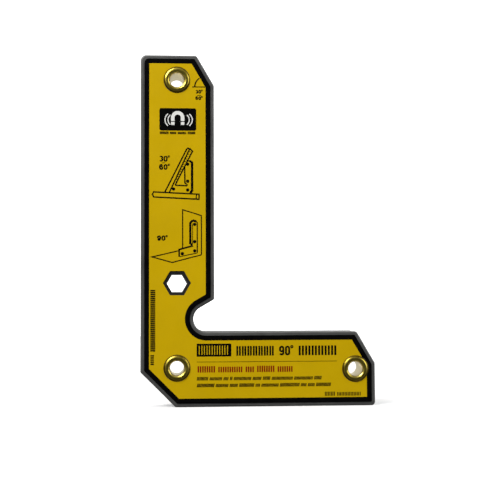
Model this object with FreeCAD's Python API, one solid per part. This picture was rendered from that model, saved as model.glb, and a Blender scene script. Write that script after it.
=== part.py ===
"""Inside-outside 90 degree welding magnet: an L-shaped steel sandwich with ceramic block magnets.

Two identical steel pole plates close on a moulded core frame.  The core locates seven ceramic
magnets, three spacer tubes and a hexagonal sleeve.  Three hollow rivets (eyelets) pass through the
tubes and clamp the stack, and a printed film label is stuck to the outer face of each plate.

Frame: millimetres, +Z up, +X from heel to toe, and the front face looks along -Y.  The origin is
the centre of the bounding box's underside, where the sole of the foot stands.
Outline coordinates (u, w): u runs from the heel's outer edge towards the toe, and w runs up from
the sole.
"""

import FreeCAD
import Part

import math
import os

# Driving dimensions of the outline
TOOL_HEIGHT = 152.4
FOOT_LENGTH = 101.6
ARM_WIDTH = 31.75
FOOT_WIDTH = 32.2
HEEL_CHAMFER = 15.0
BRACE_ANGLE = 60.0
BRACE_REACH = 112.2  # along the sole, from the heel's edge to where the brace's line meets it
RELIEF_RADIUS = 5.56
RELIEF_CENTRE_U = 28.3
RELIEF_ANGLE = 30.0
TIP_CORNER_RADIUS = 2.4
SOLE_CORNER_RADIUS = 1.6
BRACE_CORNER_RADIUS = 1.5
SMALL_CORNER_RADIUS = 1.0
SHARPEST_RADIUS = 0.4  # of a convex corner of an inset outline

# The stack, from the middle of the thickness outwards
CORE_THICKNESS = 9.525
PLATE_THICKNESS = 3.175
LABEL_THICKNESS = 0.25
PLATE_EDGE_RADIUS = 0.8
CORE_INSET = 1.0
LABEL_INSET = 1.65
LABEL_TIP_RADIUS = 2.0

# Hollow rivets and their spacer tubes
BORE_RADIUS = 3.05
BARREL_RADIUS = 3.97
PLATE_HOLE_RADIUS = 4.02
SPACER_INNER_RADIUS = 4.05
SPACER_OUTER_RADIUS = 5.5
CORE_HOLE_RADIUS = 5.55
FLANGE_RADIUS = 5.6
FLANGE_HEIGHT = 0.95
FLANGE_EDGE_HEIGHT = 0.3
CREST_RADIUS = 4.25
LABEL_HOLE_RADIUS = 5.8
EYELETS = {"top": (15.65, 141.5), "corner": (15.65, 16.7), "toe": (92.9, 15.9)}

# Hexagonal sleeve, sizes across flats
HEX_CENTRE = (15.65, 53.2)
HEX_INNER_FLATS = 7.6
HEX_OUTER_FLATS = 10.3
HEX_HOLE_FLATS = 10.36
HEX_LABEL_FLATS = 10.45
HEX_MOUTH_CHAMFER = 0.35

# Ceramic block magnets: 1 x 3/4 x 3/8 inch, and a half-width block beside the heel
MAGNET_LONG = 25.4
MAGNET_SHORT = 19.05
HALF_MAGNET_LONG = 12.7
POCKET_GAP = 0.15  # all round, filled with glue on the real tool
MAGNET_EDGE_CHAMFER = 0.5
ARM_MAGNETS_CENTRE_W = 97.5
ARM_MAGNETS_PITCH = 23.5
FOOT_MAGNETS_CENTRE_U = 54.6
FOOT_MAGNETS_PITCH = 20.5
HEEL_MAGNET_CENTRE = (10.2, 34.9)

Y_AXIS = FreeCAD.Vector(0, 1, 0)
PLATE_OUTER_Y = CORE_THICKNESS / 2 + PLATE_THICKNESS
TWO_SIDES = {"front": -1, "rear": 1}


def point(u, w, y=0.0):
    """The place of outline coordinates (u, w) in the part's frame."""
    return FreeCAD.Vector(u - FOOT_LENGTH / 2, y, w)


def outline_corners():
    """The outline's sharp corners, anticlockwise, each as (u, w, corner radius)."""
    slope = math.tan(math.radians(BRACE_ANGLE))
    relief_slope = math.tan(math.radians(RELIEF_ANGLE))
    relief_run = RELIEF_RADIUS / math.tan(math.radians(RELIEF_ANGLE / 2))
    relief_u = RELIEF_CENTRE_U - relief_run
    return [
        (HEEL_CHAMFER, 0.0, SMALL_CORNER_RADIUS),
        (FOOT_LENGTH, 0.0, SOLE_CORNER_RADIUS),
        (FOOT_LENGTH, (BRACE_REACH - FOOT_LENGTH) * slope, BRACE_CORNER_RADIUS),
        (BRACE_REACH - FOOT_WIDTH / slope, FOOT_WIDTH, BRACE_CORNER_RADIUS),
        (relief_u, FOOT_WIDTH, RELIEF_RADIUS),
        (ARM_WIDTH, FOOT_WIDTH + (ARM_WIDTH - relief_u) * relief_slope, SMALL_CORNER_RADIUS),
        (ARM_WIDTH, (BRACE_REACH - ARM_WIDTH) * slope, BRACE_CORNER_RADIUS),
        (BRACE_REACH - TOOL_HEIGHT / slope, TOOL_HEIGHT, BRACE_CORNER_RADIUS),
        (0.0, TOOL_HEIGHT, TIP_CORNER_RADIUS),
        (0.0, HEEL_CHAMFER, SMALL_CORNER_RADIUS),
    ]


def unit(start, end):
    length = math.dist(start, end)
    return (end[0] - start[0]) / length, (end[1] - start[1]) / length


def inset_corners(inset, tip_radius=None):
    """The outline's corners moved into the material, with radii that keep the rim even."""
    corners = outline_corners()
    moved = []
    for i, (u, w, radius) in enumerate(corners):
        before = corners[i - 1][:2]
        after = corners[(i + 1) % len(corners)][:2]
        (au, aw), (bu, bw) = unit(before, (u, w)), unit((u, w), after)
        turn = au * bw - aw * bu
        along = inset * (1 - (au * bu + aw * bw)) / turn
        new_radius = max(radius - inset, SHARPEST_RADIUS) if turn > 0 else radius + inset
        if tip_radius is not None and radius == TIP_CORNER_RADIUS:
            new_radius = tip_radius
        moved.append((u - aw * inset - au * along, w + au * inset - aw * along, new_radius))
    return moved


def rounded_wire(corners, y):
    """A closed wire through the corners at height y, each rounded by a tangent arc."""
    arcs = []
    for i, (u, w, radius) in enumerate(corners):
        before = corners[i - 1][:2]
        after = corners[(i + 1) % len(corners)][:2]
        (au, aw), (bu, bw) = unit((u, w), before), unit((u, w), after)
        half = math.acos(au * bu + aw * bw) / 2
        run = radius / math.tan(half)
        mu, mw = unit((0, 0), (au + bu, aw + bw))
        middle = radius / math.sin(half) - radius
        arcs.append((
            point(u + au * run, w + aw * run, y),
            point(u + mu * middle, w + mw * middle, y),
            point(u + bu * run, w + bw * run, y),
        ))
    edges = []
    for i, (start, middle, end) in enumerate(arcs):
        edges.append(Part.LineSegment(arcs[i - 1][2], start).toShape())
        edges.append(Part.Arc(start, middle, end).toShape())
    return Part.Wire(edges)


def slab(corners, low_y, high_y):
    """A plate of the given outline between two heights along Y."""
    face = Part.Face(rounded_wire(corners, low_y))
    return face.extrude(Y_AXIS * (high_y - low_y))


def cylinder(centre, radius, low_y, high_y):
    return Part.makeCylinder(radius, high_y - low_y, point(*centre, low_y), Y_AXIS)


def hex_prism(flats, low_y, high_y):
    """A hexagonal prism at the sleeve's place, with two of its flats level."""
    radius = flats / math.sqrt(3)
    corners = [
        point(
            HEX_CENTRE[0] + radius * math.cos(math.radians(60 * i)),
            HEX_CENTRE[1] + radius * math.sin(math.radians(60 * i)),
            low_y,
        )
        for i in range(7)
    ]
    return Part.Face(Part.makePolygon(corners)).extrude(Y_AXIS * (high_y - low_y))


def block(centre, size_u, size_w):
    """A block as thick as the core, centred at (u, w)."""
    low = point(centre[0] - size_u / 2, centre[1] - size_w / 2, -CORE_THICKNESS / 2)
    return Part.makeBox(size_u, CORE_THICKNESS, size_w, low)


def edges_at_y(shape, y):
    """The edges that lie wholly at height y."""
    return [
        e for e in shape.Edges
        if abs(e.BoundBox.YMin - y) < 1e-6 and abs(e.BoundBox.YMax - y) < 1e-6
    ]


def magnet_layout():
    """Each magnet's node name, centre and size, (u, w)."""
    layout = {}
    for i, place in enumerate(("lower", "middle", "upper")):
        w = ARM_MAGNETS_CENTRE_W + (i - 1) * ARM_MAGNETS_PITCH
        layout[f"arm_magnet_{place}"] = ((ARM_WIDTH / 2, w), MAGNET_LONG, MAGNET_SHORT)
    for i, place in enumerate(("inner", "middle", "outer")):
        u = FOOT_MAGNETS_CENTRE_U + (i - 1) * FOOT_MAGNETS_PITCH
        layout[f"foot_magnet_{place}"] = ((u, FOOT_WIDTH / 2), MAGNET_SHORT, MAGNET_LONG)
    layout["heel_magnet"] = (HEEL_MAGNET_CENTRE, HALF_MAGNET_LONG, MAGNET_SHORT)
    return layout


def make_pole_plate(side):
    """A blanked steel plate whose outer face has a rolled-over rim."""
    inner_y, outer_y = side * CORE_THICKNESS / 2, side * PLATE_OUTER_Y
    low_y, high_y = min(inner_y, outer_y), max(inner_y, outer_y)
    plate = slab(outline_corners(), low_y, high_y)
    plate = plate.makeFillet(PLATE_EDGE_RADIUS, edges_at_y(plate, outer_y))
    for centre in EYELETS.values():
        plate = plate.cut(cylinder(centre, PLATE_HOLE_RADIUS, low_y, high_y))
    return plate.cut(hex_prism(HEX_HOLE_FLATS, low_y, high_y))


def make_label(side):
    """A film label, cut clear of the rivets' flanges and the sleeve."""
    inner_y, outer_y = side * PLATE_OUTER_Y, side * (PLATE_OUTER_Y + LABEL_THICKNESS)
    low_y, high_y = min(inner_y, outer_y), max(inner_y, outer_y)
    label = slab(inset_corners(LABEL_INSET, LABEL_TIP_RADIUS), low_y, high_y)
    for centre in EYELETS.values():
        label = label.cut(cylinder(centre, LABEL_HOLE_RADIUS, low_y, high_y))
    return label.cut(hex_prism(HEX_LABEL_FLATS, low_y, high_y))


def make_core_frame():
    """The moulded frame between the plates, with a pocket or hole for each piece it holds."""
    half = CORE_THICKNESS / 2
    core = slab(inset_corners(CORE_INSET), -half, half)
    for centre, size_u, size_w in magnet_layout().values():
        core = core.cut(block(centre, size_u + 2 * POCKET_GAP, size_w + 2 * POCKET_GAP))
    for centre in EYELETS.values():
        core = core.cut(cylinder(centre, CORE_HOLE_RADIUS, -half, half))
    return core.cut(hex_prism(HEX_HOLE_FLATS, -half, half))


def make_magnet(centre, size_u, size_w):
    """A pressed ceramic block with broken edges along its thickness."""
    magnet = block(centre, size_u, size_w)
    upright = [e for e in magnet.Edges if e.BoundBox.YLength > CORE_THICKNESS / 2]
    return magnet.makeChamfer(MAGNET_EDGE_CHAMFER, upright)


def make_spacer(centre):
    half = CORE_THICKNESS / 2
    tube = cylinder(centre, SPACER_OUTER_RADIUS, -half, half)
    return tube.cut(cylinder(centre, SPACER_INNER_RADIUS, -half, half))


def make_eyelet(centre):
    """A hollow rivet with both ends rolled over: half its section, revolved about its bore.

    From each crest an arc falls outwards to the flange's edge, and a quarter round falls into
    the bore.
    """
    seat = PLATE_OUTER_Y
    crest = seat + FLANGE_HEIGHT
    lip = seat + FLANGE_EDGE_HEIGHT
    width, fall = FLANGE_RADIUS - CREST_RADIUS, FLANGE_HEIGHT - FLANGE_EDGE_HEIGHT
    roll_radius = (width**2 + fall**2) / (2 * fall)
    roll_half_angle = math.asin(width / roll_radius) / 2
    roll_middle = (
        CREST_RADIUS + roll_radius * math.sin(roll_half_angle),
        crest - roll_radius * (1 - math.cos(roll_half_angle)),
    )
    mouth_radius = CREST_RADIUS - BORE_RADIUS
    mouth_middle = (
        CREST_RADIUS - mouth_radius * math.sin(math.pi / 4),
        crest - mouth_radius * (1 - math.cos(math.pi / 4)),
    )

    def at(radius, y):
        return point(centre[0] + radius, centre[1], y)

    edges = []
    for s in (1, -1):
        corners = [(BARREL_RADIUS, 0), (BARREL_RADIUS, seat), (FLANGE_RADIUS, seat), (FLANGE_RADIUS, lip)]
        corners = [at(radius, s * y) for radius, y in corners]
        edges += [Part.LineSegment(a, b).toShape() for a, b in zip(corners, corners[1:])]
        crest_point = at(CREST_RADIUS, s * crest)
        roll_point = at(roll_middle[0], s * roll_middle[1])
        edges.append(Part.Arc(corners[-1], roll_point, crest_point).toShape())
        mouth_point = at(mouth_middle[0], s * mouth_middle[1])
        bore_start = at(BORE_RADIUS, s * (crest - mouth_radius))
        edges.append(Part.Arc(crest_point, mouth_point, bore_start).toShape())
        edges.append(Part.LineSegment(bore_start, at(BORE_RADIUS, 0)).toShape())
    section = Part.Face(Part.Wire(Part.__sortEdges__(edges)))
    return section.revolve(point(*centre), Y_AXIS, 360)


def make_hex_sleeve():
    """A hexagonal tube through the whole stack, flush with the plates, with eased mouths."""
    end = PLATE_OUTER_Y
    sleeve = hex_prism(HEX_OUTER_FLATS, -end, end).cut(hex_prism(HEX_INNER_FLATS, -end, end))
    reach = HEX_INNER_FLATS / math.sqrt(3) + HEX_MOUTH_CHAMFER
    axis_x, axis_z = point(*HEX_CENTRE).x, point(*HEX_CENTRE).z
    mouths = [
        e for e in edges_at_y(sleeve, end) + edges_at_y(sleeve, -end)
        if all(math.hypot(v.X - axis_x, v.Z - axis_z) < reach for v in e.Vertexes)
    ]
    return sleeve.makeChamfer(HEX_MOUTH_CHAMFER, mouths)


def make_all():
    """Every node's solid, by name."""
    nodes = {"core_frame": make_core_frame(), "hex_sleeve": make_hex_sleeve()}
    for name, side in TWO_SIDES.items():
        nodes[f"{name}_pole_plate"] = make_pole_plate(side)
        nodes[f"{name}_label"] = make_label(side)
    for name, centre in EYELETS.items():
        nodes[f"{name}_eyelet"] = make_eyelet(centre)
        nodes[f"{name}_spacer_tube"] = make_spacer(centre)
    for name, (centre, size_u, size_w) in magnet_layout().items():
        nodes[name] = make_magnet(centre, size_u, size_w)
    return nodes


def main():
    os.makedirs("parts", exist_ok=True)
    for name, shape in make_all().items():
        solid = shape.Solids[0]
        assert len(shape.Solids) == 1 and solid.isValid() and solid.Volume > 0, name
        solid.exportStep(f"parts/{name}.step")
        print(f"{name}: {solid.Volume / 1000:.3f} cm3")


main()
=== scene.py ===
"""Looks of the 90 degree welding magnet: its printed labels, its metals, and the studio round it.

The CAD solids stay as they are and get their materials here.  The labels' print is built on top of
the film as thin solids, each group of marks a piece of its own.  Lengths are in millimetres until a
mesh is made, and label places are (u, w): u from the heel towards the toe, w up from the sole.
"""

import math

import bpy
from mathutils import Matrix, Vector
from mathutils.geometry import delaunay_2d_cdt


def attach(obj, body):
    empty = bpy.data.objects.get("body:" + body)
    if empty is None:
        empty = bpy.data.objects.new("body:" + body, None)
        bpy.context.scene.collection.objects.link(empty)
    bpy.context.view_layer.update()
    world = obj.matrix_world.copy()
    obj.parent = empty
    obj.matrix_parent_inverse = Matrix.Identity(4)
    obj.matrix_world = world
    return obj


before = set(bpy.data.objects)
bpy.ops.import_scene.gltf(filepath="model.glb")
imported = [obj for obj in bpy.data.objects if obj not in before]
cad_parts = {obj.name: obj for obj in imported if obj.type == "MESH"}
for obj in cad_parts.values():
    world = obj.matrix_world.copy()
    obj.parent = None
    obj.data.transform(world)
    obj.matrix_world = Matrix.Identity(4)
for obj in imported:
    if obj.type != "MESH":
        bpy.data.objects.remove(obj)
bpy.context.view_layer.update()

MM = 0.001

# The outline, as the CAD model draws it
TOOL_HEIGHT = 152.4
FOOT_LENGTH = 101.6
ARM_WIDTH = 31.75
FOOT_WIDTH = 32.2
HEEL_CHAMFER = 15.0
BRACE_ANGLE = 60.0
BRACE_REACH = 112.2
RELIEF_RADIUS = 5.56
RELIEF_CENTRE_U = 28.3
RELIEF_ANGLE = 30.0
TIP_CORNER_RADIUS = 2.4
LABEL_TIP_RADIUS = 2.0
LABEL_EDGE_RADIUS = 0.4
LABEL_INSET = 1.65
FIELD_INSET = 3.7
PLATE_FACE = 7.9375
LABEL_FACE = 8.1875
LABEL_HOLE_RADIUS = 5.8
HEX_LABEL_FLATS = 10.45
EYELETS = {"top": (15.65, 141.5), "corner": (15.65, 16.7), "toe": (92.9, 15.9)}
HEX_CENTRE = (15.65, 53.2)

# Print: how far each layer stands above the film, and how deep it is rooted in it
INK_RISE = 0.02
WHITE_RISE = 0.035
INK_ROOT = 0.03
BORDER_LAP = 0.02
ARC_STEP = 5.0  # degrees between the points of a drawn arc, at most
SAME_PLACE = 1e-6  # two points closer than this are one
MESH_PRECISION = 1e-4  # how near points of a region's mesh may come before they are joined

SIDES = {"front": -1, "rear": 1}


# ---------------------------------------------------------------- outline and flat drawing

def outline_corners():
    """The outline's sharp corners, anticlockwise, each as (u, w, corner radius)."""
    slope = math.tan(math.radians(BRACE_ANGLE))
    relief_slope = math.tan(math.radians(RELIEF_ANGLE))
    relief_run = RELIEF_RADIUS / math.tan(math.radians(RELIEF_ANGLE / 2))
    relief_u = RELIEF_CENTRE_U - relief_run
    return [
        (HEEL_CHAMFER, 0.0, 0.0),
        (FOOT_LENGTH, 0.0, 0.0),
        (FOOT_LENGTH, (BRACE_REACH - FOOT_LENGTH) * slope, 0.0),
        (BRACE_REACH - FOOT_WIDTH / slope, FOOT_WIDTH, 0.0),
        (relief_u, FOOT_WIDTH, RELIEF_RADIUS),
        (ARM_WIDTH, FOOT_WIDTH + (ARM_WIDTH - relief_u) * relief_slope, 0.0),
        (ARM_WIDTH, (BRACE_REACH - ARM_WIDTH) * slope, 0.0),
        (BRACE_REACH - TOOL_HEIGHT / slope, TOOL_HEIGHT, 0.0),
        (0.0, TOOL_HEIGHT, TIP_CORNER_RADIUS),
        (0.0, HEEL_CHAMFER, 0.0),
    ]


def unit(start, end):
    """The direction from one place to another, of length 1."""
    length = math.dist(start, end)
    return (end[0] - start[0]) / length, (end[1] - start[1]) / length


def arc(centre, radius_u, radius_w, start, end):
    """Points along an arc of a circle or an ellipse, from one angle to another in degrees."""
    steps = max(2, math.ceil(abs(end - start) / ARC_STEP))
    angles = [math.radians(start + (end - start) * i / steps) for i in range(steps + 1)]
    return [(centre[0] + radius_u * math.cos(a), centre[1] + radius_w * math.sin(a)) for a in angles]


def inset_outline(inset, sharp_radius=0.0, tip_radius=None):
    """The outline moved into the material, as a polygon with its corners rounded."""
    corners = outline_corners()
    moved = []
    for i, (u, w, radius) in enumerate(corners):
        before = corners[i - 1][:2]
        after = corners[(i + 1) % len(corners)][:2]
        (au, aw), (bu, bw) = unit(before, (u, w)), unit((u, w), after)
        turn = au * bw - aw * bu
        along = inset * (1 - (au * bu + aw * bw)) / turn
        new_radius = sharp_radius if turn > 0 else radius + inset
        if tip_radius is not None and radius == TIP_CORNER_RADIUS:
            new_radius = tip_radius
        moved.append((u - aw * inset - au * along, w + au * inset - aw * along, new_radius))
    return rounded_polygon(moved)


def rounded_polygon(corners):
    """A polygon through corners given as (u, w, radius), anticlockwise."""
    points = []
    for i, (u, w, radius) in enumerate(corners):
        if radius == 0:
            points.append((u, w))
            continue
        before = corners[i - 1][:2]
        after = corners[(i + 1) % len(corners)][:2]
        (au, aw), (bu, bw) = unit(before, (u, w)), unit((u, w), after)
        turn = math.atan2(au * bw - aw * bu, au * bu + aw * bw)
        run = radius * math.tan(abs(turn) / 2)
        side = math.copysign(1, turn)
        centre = (u - au * run - aw * side * radius, w - aw * run + au * side * radius)
        start = math.degrees(math.atan2(-au * side, aw * side))
        points += arc(centre, radius, radius, start, start + math.degrees(turn))
    return points


def box(low_u, low_w, high_u, high_w, radius=0.0):
    """A rectangle between two corners, its own corners rounded if a radius is given."""
    corners = [(low_u, low_w), (high_u, low_w), (high_u, high_w), (low_u, high_w)]
    return rounded_polygon([(u, w, radius) for u, w in corners])


def disc(centre, radius):
    return arc(centre, radius, radius, 0, 360)[:-1]


def hexagon(centre, flats):
    """A regular hexagon, given across its flats, with corners at its left and right."""
    radius = flats / math.sqrt(3)
    angles = [math.radians(60 * i) for i in range(6)]
    return [(centre[0] + radius * math.cos(a), centre[1] + radius * math.sin(a)) for a in angles]


def stroke(path, width, closed=False):
    """A line of the given width along a path, as quads that share their mitred ends."""
    path = [p for i, p in enumerate(path) if not (i or closed) or math.dist(p, path[i - 1]) > SAME_PLACE]
    count = len(path)
    sides = []
    for i, here in enumerate(path):
        before = path[i - 1] if i or closed else None
        after = path[(i + 1) % count] if i < count - 1 or closed else None
        if before is None:
            au, aw = bu, bw = unit(here, after)
        elif after is None:
            au, aw = bu, bw = unit(before, here)
        else:
            (au, aw), (bu, bw) = unit(before, here), unit(here, after)
        nu, nw = -(aw + bw), au + bu
        reach = width / (nu * nu + nw * nw)
        sides.append(((here[0] + nu * reach, here[1] + nw * reach),
                      (here[0] - nu * reach, here[1] - nw * reach)))
    quads = []
    for i in range(count if closed else count - 1):
        (left, right), (next_left, next_right) = sides[i], sides[(i + 1) % count]
        quads.append([left, right, next_right, next_left])
    return quads


def anticlockwise(polygon):
    """The polygon's points in anticlockwise order."""
    area = sum(a[0] * b[1] - b[0] * a[1] for a, b in zip(polygon, polygon[1:] + polygon[:1]))
    return polygon if area > 0 else polygon[::-1]


def inside(polygon, place):
    """Whether a place is inside a polygon, by counting the edges a level ray crosses."""
    u, w = place
    crossed = False
    for (au, aw), (bu, bw) in zip(polygon, polygon[1:] + polygon[:1]):
        if (aw > w) != (bw > w) and u < au + (w - aw) * (bu - au) / (bw - aw):
            crossed = not crossed
    return crossed


def region(adds, cuts):
    """Corner points and triangles of the union of some polygons, less some others."""
    points, faces, spans = [], [], []
    for polygon in adds + cuts:
        faces.append(list(range(len(points), len(points) + len(polygon))))
        points += anticlockwise(polygon)
        spans.append([(min(ends), max(ends)) for ends in zip(*polygon)])
    found = delaunay_2d_cdt([Vector(p) for p in points], [], faces, 0, MESH_PRECISION)
    corners, kept = found[0], []
    for tri in found[2]:
        place = [sum(corners[i][axis] for i in tri) / 3 for axis in (0, 1)]
        owners = [
            i for i, (polygon, ((low_u, high_u), (low_w, high_w))) in enumerate(zip(adds + cuts, spans))
            if low_u <= place[0] <= high_u and low_w <= place[1] <= high_w and inside(polygon, place)
        ]
        if owners and max(owners) < len(adds):
            kept.append(tri)
    return corners, kept


def turned_round(corners, triangles, middle):
    """Corner points and triangles turned left for right about an upright line."""
    return [(2 * middle - u, w) for u, w in corners], [tri[::-1] for tri in triangles]


def raised(name, side, corners, triangles, low, high):
    """A flat solid on one face of the tool, between two heights from its middle plane."""
    used = sorted({i for tri in triangles for i in tri})
    order = {old: new for new, old in enumerate(used)}
    count = len(used)
    vertices = []
    for height in (high, low):
        for i in used:
            u, w = corners[i]
            vertices.append(((u - FOOT_LENGTH / 2) * MM, side * height * MM, w * MM))
    faces, rims = [], {}
    for tri in triangles:
        a, b, c = (order[i] for i in tri)
        faces.append((a, b, c))
        faces.append((a + count, c + count, b + count))
        for start, end in ((a, b), (b, c), (c, a)):
            rims[start, end] = True
    for start, end in rims:
        if (end, start) not in rims:
            faces.append((end, start, start + count, end + count))
    if side > 0:
        faces = [face[::-1] for face in faces]
    mesh = bpy.data.meshes.new(name)
    mesh.from_pydata(vertices, [], faces)
    mesh.update()
    piece = bpy.data.objects.new(name, mesh)
    bpy.context.scene.collection.objects.link(piece)
    return piece


# ---------------------------------------------------------------- the label's marks

def digit_paths(digit, width, height):
    """The centre lines of a digit in a cell of that size, each as (path, closed)."""
    ru = width / 2
    if digit == "0":
        oval = arc((ru, height - ru), ru, ru, 0, 180) + arc((ru, ru), ru, ru, 180, 360)
        return [(oval, True)]
    if digit == "3":
        quarter = height / 4
        upper = arc((ru, 3 * quarter), ru, quarter, 155, -90)
        lower = arc((ru, quarter), ru, quarter, 90, -155)
        return [(upper, False), (lower, False)]
    bowl_top = 0.6 * height
    bowl_radius = min(ru, bowl_top / 2)
    bowl = arc((ru, bowl_top - bowl_radius), ru, bowl_radius, 0, 180)
    bowl += arc((ru, bowl_radius), ru, bowl_radius, 180, 360)
    stem = arc((ru, height - ru), ru, ru, 20, 180) + [(0, bowl_top - bowl_radius)]
    paths = [(bowl, True), (stem, False)]
    if digit == "9":
        paths = [([(width - u, height - w) for u, w in path], closed) for path, closed in paths]
    return paths


def angle_text(digits, low_u, low_w, width, height, line, gap):
    """Digits and a degree sign, drawn with lines of the given width."""
    strokes = []
    for place, digit in enumerate(digits):
        start = low_u + place * (width + gap) + line / 2
        for path, closed in digit_paths(digit, width - line, height - line):
            path = [(start + u, low_w + line / 2 + w) for u, w in path]
            strokes += stroke(path, line, closed)
    ring = 0.07 * height + 0.15
    centre = (low_u + len(digits) * (width + gap) + ring, low_w + height - ring)
    return strokes + stroke(arc(centre, ring, ring, 0, 360)[:-1], 0.6 * line, closed=True)


def ticks(count, low_u, low_w, pitch, width, height, slant=0.0):
    """A row of plain upright ticks, which stands for a word without spelling one."""
    rows = []
    for i in range(count):
        u = low_u + i * pitch
        lean = slant * height
        rows.append([(u, low_w), (u + width, low_w), (u + width + lean, low_w + height),
                     (u + lean, low_w + height)])
    return rows


def tick_pairs(count, low_u, low_w, pitch, apart, width, height):
    """Pairs of ticks, each pair as wide as one capital letter."""
    pairs = ticks(count, low_u, low_w, pitch, width, height)
    return pairs + ticks(count, low_u + apart, low_w, pitch, width, height)


def tick_words(words, low_u, low_w, pitch, width, height, slant=0.0):
    """Ticks in one row, grouped into words of the given counts."""
    rows, u = [], low_u
    for i, count in enumerate(words):
        tall = height * (1.0 if i % 3 else 1.12)  # every third word is taller, as one with a capital is
        rows += ticks(count, u, low_w, pitch, width, tall, slant)
        u += (count + 1.1) * pitch
    return rows


def brace_pictogram():
    """The tool holding a brace at 30 or 60 degrees on a base pipe."""
    line = 0.6
    left, right, top, drop, depth = 5.1, 25.2, 92.6, 0.95, 2.2
    rail = [(right, top - drop), (right, top - drop - depth), (left + 0.5, top - depth),
            (left, top - depth / 2), (left + 0.5, top)]
    marks = stroke(rail, line, closed=True)
    marks += stroke([(right - 1.2, top - drop), (right - 1.2, top - drop - depth)], 0.8 * line)
    foot, tip = (10.4, 92.4), (19.8, 111.1)
    bar = [foot, tip, (20.4, 111.7), (21.2, 111.5), (12.4, 92.4)]
    marks += stroke(bar, line)
    side = [(14.9, 95.6), (22.4, 110.4), (21.2, 111.5)]
    marks += stroke(side, line)
    for i in range(12):
        share = 0.30 + i * 0.057
        low = (12.4 + 8.8 * share, 92.4 + 19.1 * share)
        marks += stroke([low, (low[0] + 0.95, low[1] + 0.05)], 0.5 * line)
    arm_left, arm_right, arm_top = 19.1, 21.9, 106.1
    marks += stroke([(19.8, arm_top), (arm_right - 0.4, arm_top)], line)
    marks += stroke([(arm_right - 0.5, arm_top), (arm_right + 0.3, arm_top - 0.8),
                     (arm_right + 0.3, 93.2), (arm_right - 0.5, 92.1)], 1.7 * line)
    marks += stroke([(19.0, 104.0), (arm_left, 96.6), (19.8, 96.0)], line)
    marks += stroke([(14.9, 95.6), (15.2, 95.5), (19.8, 95.3), (20.2, 95.9)], line)
    for spot in ((20.3, 104.7), (20.3, 97.3), (20.3, 93.5), (14.2, 93.9)):
        marks.append(disc(spot, 0.72))
    return marks


def square_pictogram():
    """The tool inside the corner of an upright plate and a base plate."""
    line = 0.48
    upright = [(18.1, 68.3), (18.1, 84.9), (26.2, 82.4), (26.2, 65.4)]
    marks = stroke(upright, line)
    marks += stroke([(16.2, 67.1), (5.0, 64.5), (13.6, 62.1), (26.2, 65.4)], line)
    marks += stroke([(16.9, 64.6), (24.4, 66.2)], 0.8 * line)
    marks += stroke([(24.4, 66.3), (24.4, 79.4), (23.9, 79.9)], line)
    marks += stroke([(21.4, 70.0), (21.4, 79.1), (22.0, 79.9), (22.8, 80.2), (24.0, 79.9)], 2.0 * line)
    marks += stroke([(22.4, 70.6), (22.4, 78.9)], 0.6 * line)
    marks += stroke([(21.4, 70.6), (22.2, 69.2), (16.6, 67.7), (16.6, 64.6)], 1.5 * line)
    marks += stroke([(22.2, 69.6), (22.3, 70.6)], line)
    for spot in ((23.3, 78.6), (23.3, 71.1), (23.3, 67.1), (18.0, 65.9)):
        marks.append(disc(spot, 0.72))
    return marks


def magnet_icon():
    """A horseshoe magnet with its poles cut off from the bow, and lines of its field."""
    centre_u, bow_w, outer, inner, leg_end = 16.0, 125.0, 2.9, 1.35, 122.0
    middle_radius, width = (outer + inner) / 2, outer - inner
    bow = arc((centre_u, bow_w), middle_radius, middle_radius, 0, 180)
    right, left = centre_u + middle_radius, centre_u - middle_radius
    marks = stroke([(right, leg_end + 1.5)] + bow + [(left, leg_end + 1.5)], width)
    marks += [box(u - width / 2, leg_end - 0.2, u + width / 2, leg_end + 1.1) for u in (left, right)]
    for lean in (-1, 1):
        for reach in (4.6, 5.9):
            bulge = arc((centre_u + lean * 0.4, bow_w - 1.0), reach, 0.62 * reach + 0.6, 38, -38)
            marks += stroke([(centre_u + lean * (u - centre_u), w) for u, w in bulge], 0.45)
    return marks


def angle_mark():
    """The arc and base line that mark the slanted end's angle."""
    swing = arc((28.0, 138.5), 4.6, 4.6, 178, 124)
    return stroke(swing, 0.55) + stroke([(22.3, 138.5), (28.1, 138.5)], 0.42)


def small_angles():
    """The figures 30 and 60 under the slanted end's angle mark, with a bar between them."""
    marks = angle_text("30", 23.7, 135.6, 1.15, 1.6, 0.46, 0.12)
    marks += angle_text("60", 23.7, 132.8, 1.15, 1.6, 0.46, 0.12)
    return marks + [box(24.4, 134.65, 26.1, 134.9)]


def brace_angles():
    """The figures 30 and 60 beside the brace pictogram, with a bar between them."""
    marks = angle_text("30", 8.0, 105.75, 1.7, 2.55, 0.6, 0.2)
    marks += angle_text("60", 8.0, 102.2, 1.7, 2.45, 0.6, 0.2)
    return marks + [box(9.2, 105.08, 10.6, 105.32)]


def square_angle():
    """The figure 90 beside the square pictogram."""
    return angle_text("90", 7.1, 71.5, 1.7, 2.25, 0.6, 0.2)


def strapline():
    """The small ticks under the icon block."""
    return tick_words((8, 6, 8, 7), 8.3, 117.75, 0.475, 0.39, 1.0)


def address_ticks():
    """Two groups of ticks that read down the arm's outer edge."""
    rows = ticks(32, -50.3, 4.25, 0.83, 0.64, 2.1) + ticks(5, -22.4, 4.3, 0.9, 0.62, 1.5)
    return [[(w, -u) for u, w in row] for row in rows]


def icon_block():
    return [box(8.1, 119.3, 24.0, 129.1, 0.9)]


def title_box():
    return [box(24.1, 21.6, 39.0, 27.1, 0.15)]


def title_box_ticks():
    """The ticks that are left yellow in the title's box."""
    return tick_pairs(6, 25.0, 22.35, 2.2, 1.15, 0.42, 3.95)


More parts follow.
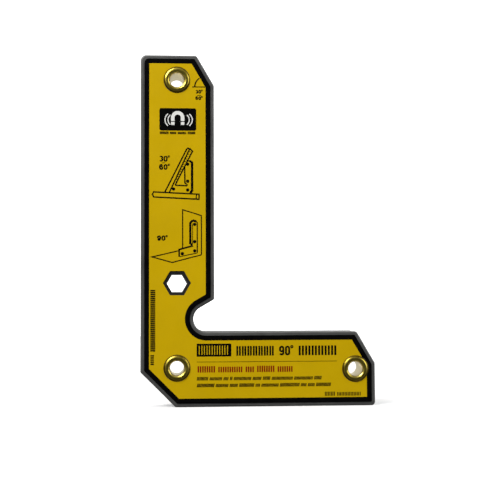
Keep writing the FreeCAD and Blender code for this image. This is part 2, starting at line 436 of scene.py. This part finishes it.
def title():
    """Tall ticks to both sides of a large figure 90."""
    marks = tick_pairs(7, 41.2, 21.88, 2.38, 1.1, 0.75, 4.15)
    marks += angle_text("90", 59.7, 21.88, 2.2, 4.15, 0.8, 0.35)
    return marks + tick_pairs(6, 68.2, 21.88, 2.83, 1.4, 0.85, 4.15)


def rule():
    return [box(24.1, 19.18, 84.9, 19.42)]


def rating():
    """The red row under the rule."""
    return tick_words((8, 11, 4, 8, 7), 24.5, 14.8, 0.975, 0.6, 2.4)


def notes():
    """The two slanted rows of small ticks."""
    marks = tick_words((9, 10, 4, 2, 14, 7, 6, 17, 15, 6), 24.1, 11.4, 0.54, 0.38, 1.35, 0.2)
    return marks + tick_words((15, 11, 7, 13, 4, 15, 17, 5, 6, 13), 24.1, 8.5, 0.5, 0.36, 1.35, 0.2)


def number_ticks():
    """The smallest row, by the foot's outer end."""
    return tick_words((7, 16), 79.5, 4.3, 0.66, 0.37, 1.6)


# ---------------------------------------------------------------- materials

def new_material(name, **settings):
    """A material with a Principled shader whose plain sockets are set to constants."""
    material = bpy.data.materials.new(name)
    material.use_nodes = True
    shader = material.node_tree.nodes["Principled BSDF"]
    for socket, value in settings.items():
        shader.inputs[socket.replace("_", " ")].default_value = value
    return material


def add_node(material, kind, **settings):
    """A node of a material or of the world, with its properties and unlinked inputs set by name."""
    node = material.node_tree.nodes.new(kind)
    for key, value in settings.items():
        if hasattr(node, key):
            setattr(node, key, value)
        else:
            node.inputs[key.replace("_", " ")].default_value = value
    return node


def link(material, source, target):
    material.node_tree.links.new(source, target)


def shader_of(material):
    return material.node_tree.nodes["Principled BSDF"]


def place_node(material):
    """Position in metres in the part's frame, which the meshes hold themselves."""
    return add_node(material, "ShaderNodeTexCoord").outputs["Object"]


def noise(material, scale, detail=3.0, roughness=0.5, stretch=None):
    """A noise's value output, its scale in cycles per metre."""
    node = add_node(material, "ShaderNodeTexNoise", Scale=scale, Detail=detail, Roughness=roughness)
    place = place_node(material)
    if stretch:
        mapping = add_node(material, "ShaderNodeMapping")
        mapping.inputs["Scale"].default_value = stretch
        link(material, place, mapping.inputs["Vector"])
        place = mapping.outputs["Vector"]
    link(material, place, node.inputs["Vector"])
    return node.outputs["Fac"]


def spread(material, value, low, high, out_low=0.0, out_high=1.0):
    """The value taken from one range to another, and held at its ends."""
    node = add_node(material, "ShaderNodeMapRange")
    sockets = ("From Min", "From Max", "To Min", "To Max")
    for socket, number in zip(sockets, (low, high, out_low, out_high)):
        node.inputs[socket].default_value = number
    link(material, value, node.inputs["Value"])
    return node.outputs["Result"]


def math_node(material, operation, first, second=None):
    node = add_node(material, "ShaderNodeMath", operation=operation)
    for socket, value in zip(node.inputs, (first, second)):
        if value is None:
            continue
        if isinstance(value, (int, float)):
            socket.default_value = value
        else:
            link(material, value, socket)
    return node.outputs[0]


def mixed(material, factor, first, second):
    """A colour mixed from two, each a colour or an output."""
    node = add_node(material, "ShaderNodeMix", data_type="RGBA")
    link(material, factor, node.inputs["Factor"])
    colours = [socket for socket in node.inputs if socket.type == "RGBA"]
    for socket, value in zip(colours, (first, second)):
        if isinstance(value, tuple):
            socket.default_value = (*value, 1.0)
        else:
            link(material, value, socket)
    return [socket for socket in node.outputs if socket.type == "RGBA"][0]


def bump(material, height, distance, strength=1.0):
    node = add_node(material, "ShaderNodeBump", Strength=strength, Distance=distance)
    link(material, height, node.inputs["Height"])
    link(material, node.outputs["Normal"], shader_of(material).inputs["Normal"])


def set_colour(material, output):
    link(material, output, shader_of(material).inputs["Base Color"])


def set_roughness(material, output):
    link(material, output, shader_of(material).inputs["Roughness"])


def face_slope(material):
    """How far a surface is turned from the tool's faces: 0 on them, 1 on its edges."""
    parts = add_node(material, "ShaderNodeSeparateXYZ")
    link(material, add_node(material, "ShaderNodeNewGeometry").outputs["True Normal"], parts.inputs[0])
    return math_node(material, "SUBTRACT", 1.0, math_node(material, "ABSOLUTE", parts.outputs["Y"]))


def steel_material(name, dark, light, worn_and_highlight):
    """Dark oxide-finished steel, painted brighter along its rounded rim: partly wear, partly a painted
    highlight.
    """
    material = new_material(name, Metallic=0.35, Specular_IOR_Level=0.5)
    patches = spread(material, noise(material, 90.0, 4.0), 0.35, 0.65)
    base = mixed(material, patches, dark, light)
    slope = face_slope(material)
    # The rounded rim's brighter colour is partly rubbed wear and partly a painted highlight
    rim_wear_and_highlight = math_node(material, "MULTIPLY", spread(material, slope, 0.04, 0.30),
                    spread(material, slope, 0.97, 0.75))
    scuffs = spread(material, noise(material, 700.0, 4.0, 0.6), 0.42, 0.62, 0.15, 0.85)
    set_colour(material, mixed(material, math_node(material, "MULTIPLY", rim_wear_and_highlight, scuffs), base, worn_and_highlight))
    set_roughness(material, spread(material, noise(material, 350.0, 3.0), 0.3, 0.7, 0.36, 0.52))
    grain = noise(material, 2600.0, 2.0, 0.6, stretch=(1.0, 0.25, 1.0))
    bump(material, grain, 0.00004, 0.5)
    return material


def film_material():
    """Yellow polyester film: slightly mottled ink under a satin surface."""
    material = new_material("label_film", Metallic=0.0, Specular_IOR_Level=0.12)
    mottle = spread(material, noise(material, 55.0, 5.0, 0.6), 0.3, 0.7)
    colour = mixed(material, mottle, (0.66, 0.43, 0.0012), (0.72, 0.47, 0.0018))
    speck = spread(material, noise(material, 2200.0, 2.0), 0.62, 0.75, 0.0, 0.35)
    set_colour(material, mixed(material, speck, colour, (0.52, 0.33, 0.001)))
    set_roughness(material, spread(material, noise(material, 160.0, 3.0), 0.3, 0.7, 0.34, 0.46))
    bump(material, noise(material, 900.0, 2.0), 0.00001, 0.6)
    return material


def ink_material(name, colour, faded):
    """Screen-printed ink, a little uneven where it was laid on."""
    material = new_material(name, Metallic=0.0, Specular_IOR_Level=0.04)
    patches = spread(material, noise(material, 400.0, 4.0, 0.6), 0.35, 0.7)
    set_colour(material, mixed(material, patches, colour, faded))
    set_roughness(material, spread(material, noise(material, 600.0, 2.0), 0.3, 0.7, 0.34, 0.5))
    bump(material, noise(material, 1500.0, 2.0), 0.000006, 0.5)
    return material


def brass_material(name, centre):
    """Rolled brass: paler in the bore, with a painted dark ring of shade over the rolled crest and a
    painted shadow round the flange's foot.
    """
    material = new_material(name, Metallic=1.0)
    offset = add_node(material, "ShaderNodeVectorMath", operation="SUBTRACT")
    link(material, place_node(material), offset.inputs[0])
    offset.inputs[1].default_value = ((centre[0] - FOOT_LENGTH / 2) * MM, 0.0, centre[1] * MM)
    flat = add_node(material, "ShaderNodeVectorMath", operation="MULTIPLY")
    link(material, offset.outputs[0], flat.inputs[0])
    flat.inputs[1].default_value = (1.0, 0.0, 1.0)
    length = add_node(material, "ShaderNodeVectorMath", operation="LENGTH")
    link(material, flat.outputs[0], length.inputs[0])
    radius = length.outputs["Value"]
    stain = noise(material, 500.0, 3.0, 0.5)
    bright = mixed(material, spread(material, stain, 0.3, 0.7), (0.70, 0.56, 0.10), (0.58, 0.46, 0.06))
    # Radii of the bore's paler colour, of the painted shade ring over the crest, and of the painted
    # shadow round the flange's foot
    mouth, shade_ring_in, shade_ring_out, foot = (
        (low * MM, high * MM) for low, high in ((3.1, 3.6), (3.9, 4.15), (4.8, 4.55), (4.95, 5.3))
    )
    bore = spread(material, radius, *mouth, 1.0, 0.0)
    bright = mixed(material, bore, bright, (0.78, 0.68, 0.38))
    # Painted shade: a dark ring over the crest
    painted_shade_ring = math_node(material, "MULTIPLY", spread(material, radius, *shade_ring_in),
                       spread(material, radius, *shade_ring_out))
    # Painted shadow round the flange's foot, joined with the ring's painted shade and made a little
    # uneven by the stain noise
    painted_shade = math_node(material, "MAXIMUM", math_node(material, "MULTIPLY", painted_shade_ring, 0.35),
                     spread(material, radius, *foot))
    painted_shade = math_node(material, "MULTIPLY", painted_shade, spread(material, stain, 0.2, 0.6, 0.8, 1.0))
    set_colour(material, mixed(material, painted_shade, bright, (0.14, 0.09, 0.004)))
    set_roughness(material, spread(material, noise(material, 700.0, 2.0), 0.3, 0.7, 0.28, 0.36))
    bump(material, noise(material, 1500.0, 2.0), 0.000004, 0.3)
    return material


def matte_material(name, first, second, scale, rough, depth):
    """A dull moulded or pressed surface with a fine grain."""
    material = new_material(name, Metallic=0.0, Specular_IOR_Level=0.4)
    patches = spread(material, noise(material, scale, 4.0), 0.3, 0.7)
    set_colour(material, mixed(material, patches, first, second))
    grain = noise(material, 3 * scale, 3.0)
    set_roughness(material, spread(material, grain, 0.3, 0.7, rough - 0.08, rough + 0.08))
    bump(material, noise(material, 8 * scale, 3.0, 0.6), depth, 0.6)
    return material


def dress(node_name, material):
    """Give a CAD node its material."""
    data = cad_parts[node_name].data
    data.materials.clear()
    data.materials.append(material)


# ---------------------------------------------------------------- building the object

# Each steel's last colour is its rim's: partly wear, partly a painted highlight
steel = steel_material("pole_steel", (0.105, 0.105, 0.102), (0.135, 0.135, 0.131), (0.13, 0.13, 0.125))
sleeve_steel = steel_material(
    "sleeve_steel", (0.018, 0.018, 0.018), (0.03, 0.03, 0.03), (0.06, 0.06, 0.06)
)
film = film_material()
black_ink = ink_material("black_ink", (0.0016, 0.0016, 0.0018), (0.0035, 0.0035, 0.0035))
white_ink = ink_material("white_ink", (0.94, 0.94, 0.91), (0.88, 0.88, 0.84))
red_ink = ink_material("red_ink", (0.24, 0.008, 0.003), (0.29, 0.014, 0.004))
olive_ink = ink_material("olive_ink", (0.10, 0.065, 0.002), (0.13, 0.085, 0.002))
core_plastic = matte_material(
    "core_plastic", (0.012, 0.012, 0.012), (0.02, 0.02, 0.02), 300.0, 0.6, 0.00003
)
ceramic = matte_material("magnet_ceramic", (0.03, 0.03, 0.032), (0.05, 0.05, 0.052), 500.0, 0.7, 0.00004)
aluminium = matte_material("spacer_aluminium", (0.6, 0.6, 0.6), (0.7, 0.7, 0.7), 900.0, 0.4, 0.00001)
shader_of(aluminium).inputs["Metallic"].default_value = 1.0

for node_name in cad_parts:
    if "magnet" in node_name:
        dress(node_name, ceramic)
    elif "spacer" in node_name:
        dress(node_name, aluminium)
    elif "plate" in node_name:
        dress(node_name, steel)
    elif "label" in node_name:
        dress(node_name, film)
    elif "eyelet" in node_name:
        where = node_name.removesuffix("_eyelet")
        dress(node_name, brass_material(f"brass_{where}", EYELETS[where]))
dress("core_frame", core_plastic)
dress("hex_sleeve", sleeve_steel)

# The upright lines about which the rows are turned on the rear label, so that they still read
ARM_MIDDLE = ARM_WIDTH / 2
ROWS_MIDDLE = 54.5
END_ANGLES_MIDDLE = 25.3
NUMBER_MIDDLE = 87.3

# Each print: its ink, its slot, and how far it stands above the film
BLACK = (black_ink, "label_ink", INK_RISE)
WHITE = (white_ink, "label_ink_white", WHITE_RISE)
RED = (red_ink, "label_ink_red", INK_RISE)
OLIVE = (olive_ink, "label_ink", INK_RISE)

# Each group of marks: its polygons, its print, and the line about which it is turned on the rear
# label (None for marks that have no reading direction)
MARKS = {
    "icon_block": (icon_block(), BLACK, ARM_MIDDLE),
    "magnet_icon": (magnet_icon(), WHITE, ARM_MIDDLE),
    "strapline_ticks": (strapline(), BLACK, ARM_MIDDLE),
    "angle_mark": (angle_mark(), BLACK, None),
    "end_angles": (small_angles(), BLACK, END_ANGLES_MIDDLE),
    "brace_angles": (brace_angles(), BLACK, ARM_MIDDLE),
    "brace_pictogram": (brace_pictogram(), BLACK, ARM_MIDDLE),
    "square_angle": (square_angle(), BLACK, ARM_MIDDLE),
    "square_pictogram": (square_pictogram(), BLACK, ARM_MIDDLE),
    "address_ticks": (address_ticks(), BLACK, None),
    "title_box": (title_box(), BLACK, ROWS_MIDDLE),
    "title": (title(), BLACK, ROWS_MIDDLE),
    "rule": (rule(), OLIVE, ROWS_MIDDLE),
    "rating_ticks": (rating(), RED, ROWS_MIDDLE),
    "note_ticks": (notes(), BLACK, ROWS_MIDDLE),
    "number_ticks": (number_ticks(), BLACK, NUMBER_MIDDLE),
}

# What is cut out of a group of marks, so that the film shows through it
CUTS = {"title_box": title_box_ticks()}


def add_piece(name, side, shape, low, high, ink):
    """A printed piece on one label, in its ink, riding on the tool."""
    piece = raised(name, side, *shape, low, high)
    piece.data.materials.append(ink)
    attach(piece, "root")


holes = [disc(centre, LABEL_HOLE_RADIUS) for centre in EYELETS.values()]
holes.append(hexagon(HEX_CENTRE, HEX_LABEL_FLATS))
border_edge = inset_outline(LABEL_INSET - BORDER_LAP, LABEL_EDGE_RADIUS, LABEL_TIP_RADIUS)
border_shape = region([border_edge], [inset_outline(FIELD_INSET)] + holes)
mark_shapes = {name: region(marks, CUTS.get(name, [])) for name, (marks, _, _) in MARKS.items()}
for side_name, side in SIDES.items():
    ink, slot, rise = BLACK
    add_piece(f"{side_name}_border", side, border_shape, PLATE_FACE, LABEL_FACE + rise, ink)
    for mark_name, (_, (ink, slot, rise), turn_line) in MARKS.items():
        shape = mark_shapes[mark_name]
        if side_name == "rear" and turn_line is not None:
            shape = turned_round(*shape, turn_line)
        name = f"{side_name}_{mark_name}"
        add_piece(name, side, shape, LABEL_FACE - INK_ROOT, LABEL_FACE + rise, ink)


# ---------------------------------------------------------------- studio

# Metres: a floor that curves up into a wall, all the way round the tool
STUDIO_RADIUS = 1.5
STUDIO_CURVE = 0.5
STUDIO_HEIGHT = 1.5

# The floor glows more with distance, so that it turns into plain white behind the tool
GLOW_PLACES = (0.25, 0.7)
GLOW_STRENGTHS = (0.30, 1.15)


def turned(name, profile, segments=96):
    """A smooth surface turned about the Z axis from (radius, height) points, with a flat middle."""
    angles = [2 * math.pi * i / segments for i in range(segments)]
    vertices = [(0.0, 0.0, profile[0][1])]
    for radius, height in profile:
        vertices += [(radius * math.cos(a), radius * math.sin(a), height) for a in angles]
    faces = []
    for i in range(segments):
        j = (i + 1) % segments
        faces.append((0, 1 + i, 1 + j))
        for ring in range(len(profile) - 1):
            low, high = 1 + ring * segments, 1 + (ring + 1) * segments
            faces.append((low + i, low + j, high + j, high + i))
    mesh = bpy.data.meshes.new(name)
    mesh.from_pydata(vertices, [], faces)
    mesh.polygons.foreach_set("use_smooth", [True] * len(mesh.polygons))
    mesh.update()
    surface = bpy.data.objects.new(name, mesh)
    bpy.context.scene.collection.objects.link(surface)
    return surface


paper = new_material("studio_paper", Roughness=0.9, Specular_IOR_Level=0.0)
shader_of(paper).inputs["Emission Color"].default_value = (1.0, 1.0, 1.0, 1.0)
distance = add_node(paper, "ShaderNodeVectorMath", operation="LENGTH")
link(paper, place_node(paper), distance.inputs[0])
glow = spread(paper, distance.outputs["Value"], *GLOW_PLACES, *GLOW_STRENGTHS)
link(paper, glow, shader_of(paper).inputs["Emission Strength"])
set_colour(paper, mixed(paper, noise(paper, 6.0, 2.0), (0.62, 0.62, 0.62), (0.64, 0.64, 0.64)))
bend = [
    (STUDIO_RADIUS - STUDIO_CURVE + u, STUDIO_CURVE + w)
    for u, w in arc((0, 0), STUDIO_CURVE, STUDIO_CURVE, -90, 0)
]
sweep = turned("studio_sweep", bend + [(STUDIO_RADIUS, STUDIO_HEIGHT)])
sweep.data.materials.append(paper)

# The sweep is seen and takes the tool's shadow, but doesn't light the tool or hide a lamp from it
sweep.visible_diffuse = False
sweep.visible_glossy = False
sweep.visible_shadow = False


def softbox(name, place, aim, width, height, power):
    """A soft rectangular lamp at a place, turned to face a point, in metres and watts."""
    lamp = bpy.data.lights.new(name, "AREA")
    lamp.shape = "RECTANGLE"
    lamp.size, lamp.size_y = width, height
    lamp.energy = power
    holder = bpy.data.objects.new(name, lamp)
    bpy.context.scene.collection.objects.link(holder)
    holder.location = place
    holder.rotation_euler = (Vector(aim) - Vector(place)).to_track_quat("-Z", "Y").to_euler()


middle = (0.0, 0.0, TOOL_HEIGHT / 2 * MM)
softbox("key_softbox", (-0.75, -0.65, 1.0), middle, 0.7, 0.7, 22.5)
softbox("top_softbox", (0.0, 0.15, 1.3), middle, 0.9, 0.9, 3.0)
softbox("fill_softbox", (0.95, -0.45, 0.5), middle, 0.5, 0.8, 4.5)
softbox("back_softbox", (0.5, 0.9, 0.8), middle, 0.7, 0.7, 7.0)

# The world's light: where its bright side lies, and (share from dark side to bright side, level)
SKY_SIDE = (0.0, 0.97, 0.24)
SKY = ((0.0, 0.05), (0.30, 0.10), (0.45, 0.20), (0.65, 0.42), (1.0, 0.72))

world = bpy.data.worlds.new("studio_world")
world.use_nodes = True
bpy.context.scene.world = world
direction = add_node(world, "ShaderNodeTexCoord").outputs["Generated"]
tilt = add_node(world, "ShaderNodeVectorMath", operation="DOT_PRODUCT")
tilt.inputs[1].default_value = SKY_SIDE
link(world, direction, tilt.inputs[0])
ramp = add_node(world, "ShaderNodeValToRGB")
link(world, spread(world, tilt.outputs["Value"], -1.0, 1.0), ramp.inputs["Fac"])
for place, level in SKY[1:-1]:
    ramp.color_ramp.elements.new(place)
for element, (place, level) in zip(ramp.color_ramp.elements, SKY):
    element.position = place
    element.color = (level, level, level, 1.0)
link(world, ramp.outputs["Color"], world.node_tree.nodes["Background"].inputs["Color"])

# The camera: its place in metres, how far it looks to the right and up in degrees, its lens in mm
CAMERA_PLACE = (-0.0378, -0.4672, 0.0443)
LOOK_RIGHT = 4.26
LOOK_UP = 2.89
LENS = 76.58

camera_data = bpy.data.cameras.new("camera")
camera_data.lens = LENS
camera_data.sensor_width = 36.0
camera = bpy.data.objects.new("camera", camera_data)
bpy.context.scene.collection.objects.link(camera)
camera.matrix_world = (
    Matrix.Translation(CAMERA_PLACE)
    @ Matrix.Rotation(math.radians(LOOK_UP), 4, "X")
    @ Matrix.Rotation(math.radians(-LOOK_RIGHT), 4, "Z")
    @ Matrix.Rotation(math.radians(90), 4, "X")
)
bpy.context.scene.camera = camera
bpy.context.scene.view_settings.view_transform = "Standard"
